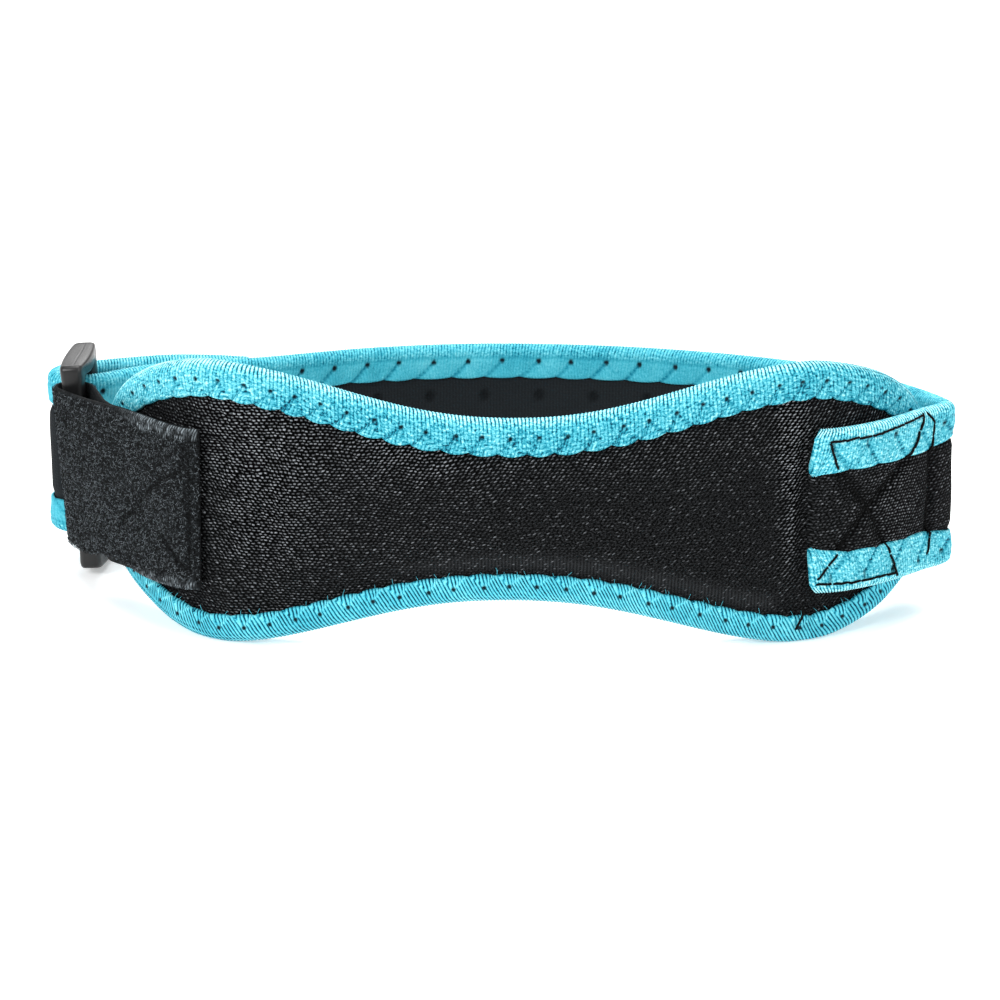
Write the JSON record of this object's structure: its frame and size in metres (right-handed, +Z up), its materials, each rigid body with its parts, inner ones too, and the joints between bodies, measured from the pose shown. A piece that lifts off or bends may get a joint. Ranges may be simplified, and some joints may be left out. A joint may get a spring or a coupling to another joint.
{
  "type": "patellar tendon strap",
  "caption": "Padded knee strap: a crowned hourglass pad with a bound rim, a loop-pile tab, a ring buckle and an edge-bound band that close a loop below the kneecap.",
  "frame": {"origin": "middle of the object's box, on the surface that it stands on", "axes": "+X along the pad towards the sewn end of the strap, +Y from the pad to the back of the loop, +Z up"},
  "size_m": [0.2062, 0.0924, 0.0639],
  "materials": {
    "black_knit": "matte knit with small bright loops",
    "blue_tape": "ribbed elastic binding",
    "black_pile": "brushed loop pile",
    "grey_plastic": "semi-matte moulding"
  },
  "bodies": {
    "root": {"pad": "black_knit", "pad_binding": "blue_tape", "strap": "black_knit", "strap_binding_upper": "blue_tape", "strap_binding_lower": "blue_tape", "tab": "black_pile", "buckle": "grey_plastic"}
  },
  "joints": []
}
